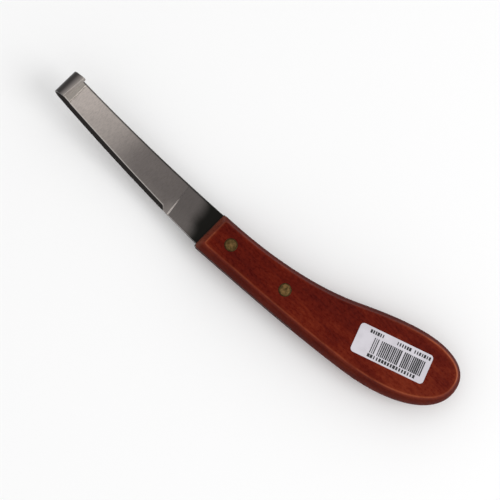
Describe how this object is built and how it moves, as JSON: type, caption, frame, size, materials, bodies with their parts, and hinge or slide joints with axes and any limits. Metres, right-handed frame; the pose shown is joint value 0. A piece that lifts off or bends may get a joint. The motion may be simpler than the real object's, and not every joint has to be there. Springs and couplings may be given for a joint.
{
  "type": "hook knife",
  "caption": "Hoof knife with a bowed single-edged steel blade, a turned-over hook at its point, and a curved hardwood handle riveted to the tang.",
  "frame": {"origin": "on the flat back of the handle, midway between the two rivets' axes", "axes": "+X along the blade towards the hook, +Y towards the cutting edge, +Z from the back of the handle towards the side that the hook turns up to"},
  "size_m": [0.2206, 0.0475, 0.0267],
  "materials": {
    "handle_wood": "glossy red-brown varnish over hardwood, worn through to orange along the edges of the flat faces",
    "blade_steel": "ground and cross-brushed, darker near the handle and in the cutting bevel",
    "rivet_brass": "sanded flush with the wood and slightly tarnished",
    "label_paper": null
  },
  "bodies": {
    "root": {"handle": "handle_wood", "blade": "blade_steel", "front_rivet_post": "rivet_brass", "front_rivet_tube": "rivet_brass", "rear_rivet_post": "rivet_brass", "rear_rivet_tube": "rivet_brass", "label": "label_paper"}
  },
  "joints": []
}
